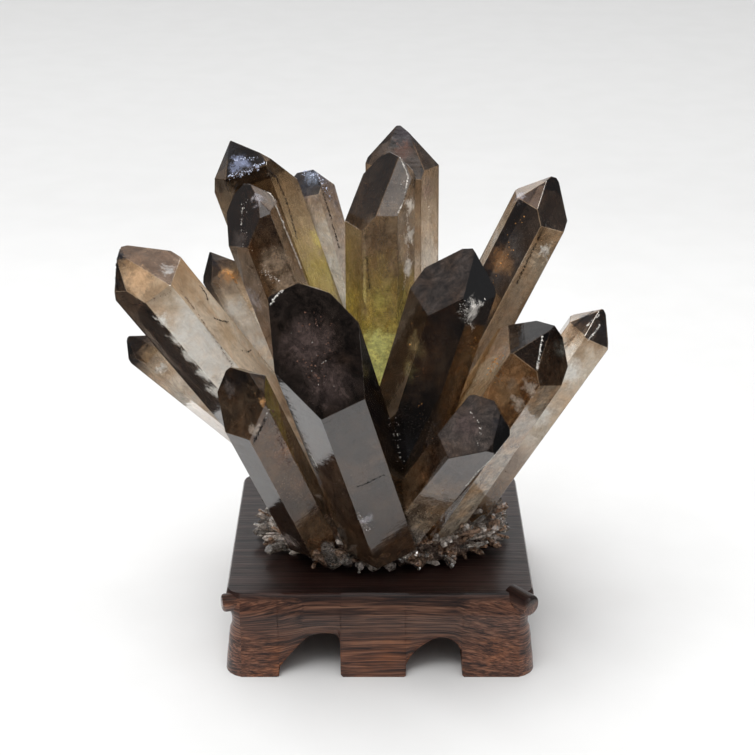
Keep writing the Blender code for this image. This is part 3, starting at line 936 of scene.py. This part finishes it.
def druse_bed(dice):
    """Makes the rough brown bed of small crystals that the points grow from."""
    bm = bmesh.new()
    rings = []
    for height, half_width, half_depth in CRUST_RINGS:
        ring = []
        for number in range(BED_AROUND):
            angle = 2 * math.pi * number / BED_AROUND
            out = 1 + dice.uniform(-BED_UNEVEN, BED_UNEVEN / 2)
            lift = dice.uniform(-CRUST_LIFT, CRUST_LIFT) if height > REST_HEIGHT else 0
            ring.append(bm.verts.new(on_crust(angle, half_width * out, half_depth * out, height + lift)))
        rings.append(ring)
    join_rings(bm, rings)
    bmesh.ops.triangulate(bm, faces=bm.faces)
    bed = mesh_object(bm, "druse_bed", slot="smoky_quartz")
    made, tree, shader = new_material("druse_bed")
    grains = pattern(tree, object_place(tree), "druse_grains")
    feed_all(tree, shader, {
        "Base Color": ramp(tree, grains, BED_COLOURS),
        "Roughness": 0.2,
        "Normal": bump(tree, grains, 1.5),
    })
    bed.data.materials.append(made)


# Rows of (how many, height, half width and half depth of the ring they stand on, lowest and highest tilt).
NEEDLE_ROWS = (
    (110, 39.5, 44, 27, -12, 20),
    (130, 43.0, 46, 30, -8, 40),
    (120, 47.5, 44, 29, 10, 60),
    (100, 52.0, 37, 24, 25, 80),
    (60, 57.0, 29, 17, 40, 90),
)
NEEDLE_LENGTHS = (5.0, 11.5)
# The distances from a needle's axis to its faces, and how far it turns aside from straight outwards.
NEEDLE_APOTHEMS = (0.4, 1.35)
NEEDLE_SWING = 60
# How unlike a needle's faces are, as shares of that distance: its tip faces' heights and its sides.
NEEDLE_CAPS = (0, 0.6)
NEEDLE_SIDES = (0.75, 1.15)
NEEDLE_BLOCK = 60.0
NEEDLE_CLEARANCE = 0.5
# The needles are drawn from these, so two in five are clear and two in five brown.
NEEDLE_KINDS = ("druse_clear", "druse_clear", "druse_white", "druse_brown", "druse_brown")
# Each kind's colour and how see-through it is.
NEEDLE_LOOKS = {
    "druse_brown": ((0.80, 0.54, 0.38), 0.55),
    "druse_clear": ((1.0, 0.92, 0.84), 0.85),
    "druse_white": ((1.0, 0.88, 0.78), 0.35),
}
# Small points that stand out at the front, as (kind, foot, head, half width).
SMALL_POINTS = (
    ("druse_clear", (-19, -31, 38), (-22, -38, 52), 3.0),
    ("druse_brown", (-22, -30, 38), (-27, -37, 48), 2.2),
    ("druse_clear", (-12, -30, 38), (-14, -39, 45), 2.4),
    # These three are of the whitest kind so that they look bright in the shade under the large front crystal:
    # painted light.
    ("druse_white", (-2, -29, 38), (-3, -38, 40), 3.0),
    ("druse_white", (2, -29, 38), (5, -38, 40), 2.2),
    ("druse_white", (-6, -29, 38), (-9, -38, 40), 2.0),
    ("druse_brown", (14, -28, 38), (17, -37, 42), 2.6),
    ("druse_white", (34, -18, 40), (43, -25, 52), 2.4),
    ("druse_brown", (40, -12, 40), (49, -17, 50), 2.8),
    ("druse_clear", (-38, -18, 39), (-47, -26, 41), 1.8),
    ("druse_clear", (-44, -8, 39), (-53, -11, 42), 1.8),
    ("druse_clear", (26, -26, 39), (30, -36, 39), 1.4),
)


def add_needle(bm, dice, foot, direction, apothem, length):
    """Adds one small crystal, with a blunt point, to a mesh."""
    place = crystal_matrix(foot + length * direction, foot)
    caps = [dice.uniform(*NEEDLE_CAPS) * apothem for _ in range(6)]
    sides = [dice.uniform(*NEEDLE_SIDES) * apothem for _ in range(6)]
    planes = crystal_planes(length, dice.uniform(0, 60), sides, caps)
    body = cut_point([("foot", Vector(), Vector((0, 0, -1)))] + planes, NEEDLE_BLOCK)
    body.transform(place)
    piece = bpy.data.meshes.new("needle")
    body.to_mesh(piece)
    body.free()
    bm.from_mesh(piece)
    bpy.data.meshes.remove(piece)


def needle_material(name, colour, clear):
    made, tree, shader = new_material(name)
    spots = changing(tree, object_place(tree), "needle_spots", 0.06, 1.25)
    feed_all(tree, shader, {
        "Base Color": tinted(tree, (*colour, 1.0), spots),
        "Transmission Weight": clear,
        "Roughness": 0.04,
        "IOR": QUARTZ_IOR,
        "Coat Weight": 1.0,
        "Coat IOR": 1.9,
        "Coat Roughness": 0.02,
    })
    return made


def druse_needles(dice):
    """Sets the small crystals on the bed, row by row, with none of them reaching into the board."""
    kinds = {name: bmesh.new() for name in NEEDLE_LOOKS}
    for count, height, half_width, half_depth, lowest, highest in NEEDLE_ROWS:
        for number in range(count):
            angle = 2 * math.pi * (number + dice.uniform(-0.5, 0.5)) / count
            tilt = math.radians(dice.uniform(lowest, highest))
            way = angle + math.radians(dice.uniform(-NEEDLE_SWING, NEEDLE_SWING))
            lift = dice.uniform(-CRUST_LIFT, CRUST_LIFT)
            foot = on_crust(angle, half_width, half_depth, height + lift)
            level = math.cos(tilt)
            direction = Vector((level * math.cos(way), level * math.sin(way), math.sin(tilt)))
            length = dice.uniform(*NEEDLE_LENGTHS)
            apothem = dice.uniform(*NEEDLE_APOTHEMS)
            low = (REST_HEIGHT + NEEDLE_CLEARANCE + apothem - foot.z) / length
            if direction.z < low:
                direction.z = low
                direction.normalize()
            add_needle(kinds[dice.choice(NEEDLE_KINDS)], dice, foot, direction, apothem, length)
    for kind, foot, head, half_width in SMALL_POINTS:
        run = Vector(head) - Vector(foot)
        add_needle(kinds[kind], dice, Vector(foot), run.normalized(), half_width, run.length)
    for name, bm in kinds.items():
        piece = mesh_object(bm, name, slot="smoky_quartz")
        piece.data.materials.append(needle_material(name, *NEEDLE_LOOKS[name]))


# ---------------------------------------------------------------- the stand

STAND_HALF_WIDTH = 61.0
STAND_HALF_DEPTH = 51.0
STAND_CORNER_RADIUS = 5.0
BOARD_THICKNESS = 10.0
APRON_THICKNESS = 9.0
# The lower rim of the apron, as (place along the side, height above the table). Feet stand at height 0.
FRONT_RIM = (
    (-56, 0), (-42, 0), (-41, 3), (-38, 7), (-34, 11.5), (-30, 15.5), (-26, 17.5), (-22, 18),
    (-18.5, 17.5), (-16.5, 15), (-15.5, 8), (-15, 0), (-3, 0), (9.5, 0), (10, 3), (12, 7.5), (15, 11),
    (18.5, 13.5), (22, 15.5), (25.5, 16), (29, 15), (32, 12), (33.5, 7), (34, 0), (45, 0), (56, 0),
)
SIDE_RIM = (
    (-46, 0), (-31, 0),
    (-30, 5), (-26, 11), (-20, 16), (-10, 19), (0, 20), (10, 19), (20, 16), (26, 11), (30, 5),
    (31, 0), (46, 0),
)
# How far the carved faces stand out from the board's edge, as (height, distance), from the top down.
FRONT_PROFILE = (
    (36, 0), (35.4, 0.9), (34, 2.0), (31, 3.6), (28, 4.4), (25, 4.1), (21, 3.1), (17, 2.9), (12, 3.8),
    (6, 5.2), (0, 6),
)
SIDE_PROFILE = (
    (36, 0), (35.4, 0.4), (34, 0.8), (32, 0.8), (30, -0.2), (28, -2.0), (26, -3.6), (24, -3.7), (22, -3.0),
    (19, -1.0), (16, -0.3), (12, 0), (6, 0.6), (0, 1),
)
OUTER_ROWS = 34
INNER_ROWS = 3
RIM_STEPS = 5
CORNER_STEPS = 6
# The carved hollow above each arch: its depth, how far above the rim it is deepest, and its spread.
ARCH_HOLLOW = 1.6
HOLLOW_RISE = 1.0
HOLLOW_SPREAD = 3.5
LOWEST_ARCH = 2.0
SHARP_EDGE = 38
KNOB_LENGTH = 12.0
KNOB_ROUNDING = 1.4
# Where the rounding's rings lie, as shares of its quarter turn.
KNOB_STEPS = (0.35, 0.7, 0.9, 1.0)
KNOB_SIDES = 28
# The knobs at the front corners, as (centre, radius, direction that it points, 0 = right, -90 = front).
KNOBS = (
    ((-57.5, -50, 31.5), 3.7, -165),
    ((56.5, -52, 33), 4.4, -50),
)


def smooth_between(points, steps):
    """Adds points to a line of (place, value) pairs, on a smooth curve that keeps the given ones."""
    finer = []
    for number in range(len(points) - 1):
        before = points[max(number - 1, 0)]
        first, second = points[number], points[number + 1]
        after = points[min(number + 2, len(points) - 1)]
        for step in range(steps):
            share = step / steps
            pair = []
            for axis in (0, 1):
                if first[1] == second[1]:
                    pair.append(first[axis] + share * (second[axis] - first[axis]))
                    continue
                a, b, c, d = before[axis], first[axis], second[axis], after[axis]
                pair.append(0.5 * (
                    2 * b + (c - a) * share + (2 * a - 5 * b + 4 * c - d) * share ** 2
                    + (3 * b - 3 * c + d - a) * share ** 3
                ))
            finer.append((pair[0], max(pair[1], 0)))
    finer.append(points[-1])
    return finer


def profile_offset(profile, height):
    """Reads a carved profile at one height, on straight lines between its points."""
    for (upper, upper_offset), (lower, lower_offset) in zip(profile, profile[1:]):
        if height >= lower:
            share = (height - lower) / (upper - lower)
            return lower_offset + share * (upper_offset - lower_offset)
    return profile[-1][1]


def stand_columns():
    """Lists the places round the stand, as (x and y, way out, rim height, profiles' blend)."""
    columns = []
    for turn in range(4):
        along_front = turn % 2 == 0
        half_length = STAND_HALF_WIDTH if along_front else STAND_HALF_DEPTH
        half_across = STAND_HALF_DEPTH if along_front else STAND_HALF_WIDTH
        rim = FRONT_RIM if along_front else SIDE_RIM
        if turn == 2:
            rim = tuple((-along, height) for along, height in reversed(rim))
        angle = math.radians(90 * turn)
        way_along = Vector((math.cos(angle), math.sin(angle), 0))
        way_out = Vector((math.sin(angle), -math.cos(angle), 0))
        own = 1.0 if along_front else 0.0
        for along, height in smooth_between(rim, RIM_STEPS):
            columns.append((along * way_along + half_across * way_out, way_out, height, own))
        corner = (half_length - STAND_CORNER_RADIUS) * way_along
        corner += (half_across - STAND_CORNER_RADIUS) * way_out
        for step in range(CORNER_STEPS + 1):
            share = step / CORNER_STEPS
            swing = math.radians(90 * share)
            out = math.cos(swing) * way_out + math.sin(swing) * way_along
            columns.append((corner + STAND_CORNER_RADIUS * out, out, 0, own + share * (1 - 2 * own)))
    return columns


def carved_offset(height, rim_height, front_share):
    """Says how far the carved face stands out at one height of a column."""
    offset = front_share * profile_offset(FRONT_PROFILE, height)
    offset += (1 - front_share) * profile_offset(SIDE_PROFILE, height)
    if rim_height > LOWEST_ARCH:
        above = height - rim_height
        offset -= ARCH_HOLLOW * math.exp(-((above - HOLLOW_RISE) / HOLLOW_SPREAD) ** 2)
    return offset


def carved_stand():
    """Makes the board and its apron as one skin: down the outside, under the rim and up inside."""
    bm = bmesh.new()
    grain = bm.loops.layers.float_vector.new("grain")
    ceiling = STAND_HEIGHT - BOARD_THICKNESS
    skins = []
    travelled = 0.0
    before = None
    for place, way_out, rim_height, front_share in stand_columns():
        travelled += (place - before).length if before else 0.0
        before = place
        skin = []
        for row in range(OUTER_ROWS + 1):
            height = STAND_HEIGHT + (rim_height - STAND_HEIGHT) * row / OUTER_ROWS
            point = place + carved_offset(height, rim_height, front_share) * way_out
            skin.append((bm.verts.new((point.x, point.y, height)), Vector((travelled, height, 0))))
        inside = place - APRON_THICKNESS * way_out
        for row in range(INNER_ROWS + 1):
            height = rim_height + (ceiling - rim_height) * row / INNER_ROWS
            vertex = bm.verts.new((inside.x, inside.y, height))
            skin.append((vertex, Vector((travelled, height, -APRON_THICKNESS))))
        skins.append(skin)
    for skin, following in zip(skins, skins[1:] + skins[:1]):
        for row in range(len(skin) - 1):
            corners = (skin[row], skin[row + 1], following[row + 1], following[row])
            face = bm.faces.new([vertex for vertex, _ in corners])
            face.smooth = True
            for loop, (_, along) in zip(face.loops, corners):
                loop[grain] = along * MM
    board_top = bm.faces.new([skin[0][0] for skin in skins])
    board_underside = bm.faces.new([skin[-1][0] for skin in reversed(skins)])
    for flat in (board_top, board_underside):
        for loop in flat.loops:
            loop[grain] = loop.vert.co * MM
    for knob in KNOBS:
        add_knob(bm, grain, *knob)
    bmesh.ops.recalc_face_normals(bm, faces=bm.faces)
    stand = mesh_object(bm, "carved_stand", slot="dark_wood")
    stand.data.set_sharp_from_angle(angle=math.radians(SHARP_EDGE))
    stand.data.materials.append(wood_material())
    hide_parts("wooden_stand")


def add_knob(bm, grain, centre, knob_radius, direction):
    """Adds one of the round knobs that stick out at the stand's front corners."""
    angle = math.radians(direction)
    axis = Vector((math.cos(angle), math.sin(angle), 0))
    across = Vector((-math.sin(angle), math.cos(angle), 0))
    outer = KNOB_LENGTH / 2
    straight = outer - KNOB_ROUNDING
    stations = [(-outer, knob_radius), (straight, knob_radius)]
    for share in KNOB_STEPS:
        swing = math.radians(90 * share)
        in_from_side = KNOB_ROUNDING * (1 - math.cos(swing))
        stations.append((straight + KNOB_ROUNDING * math.sin(swing), knob_radius - in_from_side))
    rings = []
    for along, radius in stations:
        ring = []
        for number in range(KNOB_SIDES):
            turn = 2 * math.pi * number / KNOB_SIDES
            point = Vector(centre) + along * axis + radius * math.cos(turn) * across
            ring.append(bm.verts.new((point.x, point.y, point.z + radius * math.sin(turn))))
        rings.append(ring)
    for face in join_rings(bm, rings):
        face.smooth = True
        for loop in face.loops:
            inward = loop.vert.co - Vector(centre)
            loop[grain] = Vector((inward.dot(axis), inward.dot(across), inward.z)) * MM


# The wood's lines run along the first axis of its grain: the smaller the scale there, the longer they are.
BROAD_GRAIN = (12.0, 560.0, 560.0)
FINE_GRAIN = (16.0, 1900.0, 1900.0)
PORE_GRAIN = (80.0, 1900.0, 1900.0)
# How far the lines wander in the stand's middle and at its corners, and what is left of that on the board's
# top.
GRAIN_WANDER = (5, 13)
WANDER_ON_TOP = 0.12
# Where the wood's looks change, each from the first to the second height above the table: the board's top
# begins, where the wood is painted darker as painted shade, the apron turns orange in patches, and the wood
# grows lighter towards the feet.
TOP_HEIGHTS = (33, 35.8)
ORANGE_HEIGHTS = (28, 6)
LIGHTER_FEET_HEIGHTS = (22, 8)
# The same for distances to the left and right of the stand's middle: the corners, and the glossier knobs.
CORNER_PLACES = (30, 62)
KNOB_PLACES = (56, 61)
WOOD_COLOURS = (
    (0.38, (0.011, 0.006, 0.005)), (0.45, (0.042, 0.018, 0.012)), (0.52, (0.105, 0.044, 0.025)),
    (0.64, (0.215, 0.105, 0.062)),
)
PORE_COLOUR = (0.006, 0.003, 0.003, 1.0)
ORANGE_PATCH = (1.6, 1.35, 0.9, 1.0)
LIGHTER_ENDS_AND_FEET = (1.45, 1.3, 1.2, 1.0)
# The board's top is painted darker: painted shade for the deep shadow round the cluster's foot.
BOARD_TOP_PAINTED_SHADE = (0.20, 0.15, 0.17, 1.0)


def grain_place(tree, place, top, ends):
    """Returns the place in the wood's grain, bent so that its lines wander, most of all at the corners."""
    warp = pattern(tree, stretched(tree, place, (0.6, 1.0, 1.0)), "wood_warp", "Color")
    wander = between(tree, ends, 0.0, 1.0, *(reach * MM for reach in GRAIN_WANDER))
    wander = times(tree, wander, between(tree, top, 0.0, 1.0, 1.0, WANDER_ON_TOP))
    push = feed_all(tree, node(tree, "VectorMath", operation="SCALE"), {0: warp, "Scale": wander})
    bent = node(tree, "VectorMath", operation="ADD")
    return feed_all(tree, bent, {0: attribute(tree, "grain", "Vector"), 1: push.outputs[0]}).outputs[0]


def wood_material():
    """Dark wenge-like wood under lacquer: fine lines, a painted shade on top, lighter at corners and feet."""
    made, tree, shader = new_material("dark_wood")
    place = object_place(tree)
    height = along_axis(tree, place, "Z")
    off_middle = calculate(tree, "ABSOLUTE", along_axis(tree, place, "X"))
    top = over_lengths(tree, height, *TOP_HEIGHTS)
    ends = over_lengths(tree, off_middle, *CORNER_PLACES)
    bent = grain_place(tree, place, top, ends)
    broad = times(tree, pattern(tree, stretched(tree, bent, BROAD_GRAIN), "wood_broad"), 0.4)
    fine = times(tree, pattern(tree, stretched(tree, bent, FINE_GRAIN), "wood_fine"), 0.6)
    lines = calculate(tree, "ADD", broad, fine)
    pores = pattern(tree, stretched(tree, bent, PORE_GRAIN), "wood_pores")
    low_down = over_lengths(tree, height, *ORANGE_HEIGHTS, 0.0, 0.8)
    patches = times(tree, changing(tree, place, "wood_patches"), low_down)
    lighter_share = calculate(tree, "MAXIMUM", ends, over_lengths(tree, height, *LIGHTER_FEET_HEIGHTS))
    lighter_share = times(tree, lighter_share, calculate(tree, "SUBTRACT", 1.0, top))
    colour = ramp(tree, lines, WOOD_COLOURS, "LINEAR")
    colour = partly_tinted(tree, patches, colour, ORANGE_PATCH)
    colour = partly_tinted(tree, lighter_share, colour, LIGHTER_ENDS_AND_FEET)
    colour = mix(tree, between(tree, pores, *CHANGES["wood_pores"], 0.0, 0.7), colour, PORE_COLOUR)
    relief = calculate(tree, "SUBTRACT", lines, times(tree, pores, 0.4))
    knobs = over_lengths(tree, off_middle, *KNOB_PLACES, 0.12, 0.7)
    feed_all(tree, shader, {
        "Base Color": partly_tinted(tree, top, colour, BOARD_TOP_PAINTED_SHADE),
        "Roughness": between(tree, lines, 0.4, 0.6, 0.6, 0.42),
        "Normal": bump(tree, relief, 0.6, 0.8),
        "Coat Weight": calculate(tree, "MAXIMUM", knobs, times(tree, top, 0.5)),
        "Coat Roughness": 0.2,
    })
    return made


# ---------------------------------------------------------------- floor, light and camera

FLOOR_REACH = 9000.0
FLOOR_COLOURS = ((0.3, (0.705, 0.705, 0.700)), (0.7, (0.72, 0.72, 0.716)))
# Between these places behind the stand the floor turns a little greyer.
FAR_FLOOR = (380.0, 560.0)
FAR_FLOOR_SHADE = 0.94
# The floor looks bright only round the stand, as a sheet of paper would: past it, the surroundings are
# dark in the crystals' reflections. The card is seen by reflections alone.
PAPER_HALF_WIDTH = 128.0
PAPER_FRONT = -125.0
PAPER_BACK = 700.0
CARD_HEIGHT = 1.0
CARD_REACH = 4000.0
CARD_COLOUR = (0.02, 0.02, 0.02, 1.0)


def floor():
    bm = bmesh.new()
    bmesh.ops.create_grid(bm, x_segments=8, y_segments=8, size=FLOOR_REACH)
    plane = mesh_object(bm, "floor")
    made, tree, shader = new_material("floor")
    place = object_place(tree)
    colour = ramp(tree, pattern(tree, place, "floor_weave"), FLOOR_COLOURS)
    shade = over_lengths(tree, along_axis(tree, place, "Y"), *FAR_FLOOR, 1.0, FAR_FLOOR_SHADE)
    feed_all(tree, shader, {"Base Color": tinted(tree, colour, shade), "Roughness": 0.9})
    plane.data.materials.append(made)


def dark_card():
    bm = bmesh.new()
    steps_x = (-CARD_REACH, -PAPER_HALF_WIDTH, PAPER_HALF_WIDTH, CARD_REACH)
    steps_y = (-CARD_REACH, PAPER_FRONT, PAPER_BACK, CARD_REACH)
    corners = [[bm.verts.new((x, y, CARD_HEIGHT)) for x in steps_x] for y in steps_y]
    for row in range(3):
        for column in range(3):
            if (row, column) != (1, 1):
                near, far = corners[row], corners[row + 1]
                bm.faces.new((near[column], near[column + 1], far[column + 1], far[column]))
    card = mesh_object(bm, "dark_card")
    made, tree, shader = new_material("dark_card")
    feed_all(tree, shader, {"Base Color": CARD_COLOUR, "Roughness": 1.0, "Specular IOR Level": 0.0})
    card.data.materials.append(made)
    card.visible_camera = False
    card.visible_diffuse = False
    card.visible_transmission = False
    card.visible_shadow = False


# What the crystals mirror, as (the way it lies, half width of its even part and of its soft edge in degrees,
# brightness): a pale wall behind, a soft light overhead, a dark room where the camera stands, and a small
# bright window that no large face mirrors, which gives the small crystals their glints.
SURROUNDINGS = (
    ((0.0, 1.0, 0.20), 25, 50, 0.80),
    ((0.0, -0.62, 1.0), 6, 13, 1.6),
    ((0.1, -1.0, 0.20), 30, 52, 0.03),
    ((0.58, -0.41, 0.70), 6, 11, 9.0),
)
# What is brighter than this is seen by reflections alone.
BRIGHTEST_WALL = 2.0
SIDE_LIGHT = (0.13, 0.13, 0.135, 1.0)
THROUGH_QUARTZ = (1.25, 1.22, 1.18, 1.0)
BEHIND_EVERYTHING = (0.84, 0.84, 0.85, 1.0)


def sky():
    """Makes the surroundings, which the camera itself sees as a plain pale wall."""
    world = bpy.data.worlds.new("studio")
    bpy.context.scene.world = world
    world.use_nodes = True
    tree = world.node_tree
    way = node(tree, "TexCoord").outputs["Generated"]
    rays = node(tree, "LightPath")
    colour = SIDE_LIGHT
    for towards, even, soft, brightness in SURROUNDINGS:
        near = node(tree, "VectorMath", operation="DOT_PRODUCT")
        feed_all(tree, near, {0: way, 1: Vector(towards).normalized()})
        edges = [math.cos(math.radians(angle)) for angle in (soft, even)]
        share = between(tree, near.outputs["Value"], *edges)
        if brightness > BRIGHTEST_WALL:
            share = times(tree, share, rays.outputs["Is Glossy Ray"])
        colour = mix(tree, share, colour, (brightness, brightness, brightness, 1.0))
    colour = mix(tree, rays.outputs["Is Transmission Ray"], colour, THROUGH_QUARTZ)
    colour = mix(tree, rays.outputs["Is Camera Ray"], colour, BEHIND_EVERYTHING)
    feed(tree, tree.nodes["Background"].inputs["Color"], colour)


SOFT_LIGHT = 1.5
SOFT_LIGHT_SPREAD = 110
KEY_LIGHT_POWER = 50.0
KEY_LIGHT_SIZE = 1.6
KEY_LIGHT_PLACE = (-350, -350, 2200)
KEY_LIGHT_AIM = (0, 0, 80)


def lamp(name, kind, place, power):
    light = bpy.data.lights.new(name, kind)
    light.energy = power
    made = new_object(name, light, in_scene(place))
    made.visible_glossy = False
    return light, made


def lamps():
    """Lights everything softly from above. Only SURROUNDINGS and the floor are mirrored, not the lamps."""
    soft, _ = lamp("soft_light", "SUN", (0, 0, 2000), SOFT_LIGHT)
    soft.angle = math.radians(SOFT_LIGHT_SPREAD)
    key, box = lamp("key_light", "AREA", KEY_LIGHT_PLACE, KEY_LIGHT_POWER)
    key.shape = "SQUARE"
    key.size = KEY_LIGHT_SIZE
    box.rotation_euler = (in_scene(KEY_LIGHT_AIM) - box.location).to_track_quat("-Z", "Y").to_euler()


def camera():
    lens = bpy.data.cameras.new("camera")
    lens.sensor_fit = "HORIZONTAL"
    lens.angle = 2 * math.atan(HALF_PICTURE_PIXELS / LENS_PIXELS)
    lens.clip_start = 0.01
    made = new_object("camera", lens, in_scene(CAMERA_PLACE))
    made.rotation_euler = (math.radians(90 - CAMERA_ELEVATION), 0, 0)
    bpy.context.scene.camera = made


def main():
    dice = random.Random(SEED)
    crystals = [Crystal(*row) for row in CRYSTALS]
    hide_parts("quartz_cluster")
    fill_crystals(crystals, dice)
    druse_bed(dice)
    druse_needles(dice)
    carved_stand()
    floor()
    dark_card()
    sky()
    lamps()
    camera()
    bpy.context.scene.view_settings.view_transform = "Standard"


main()
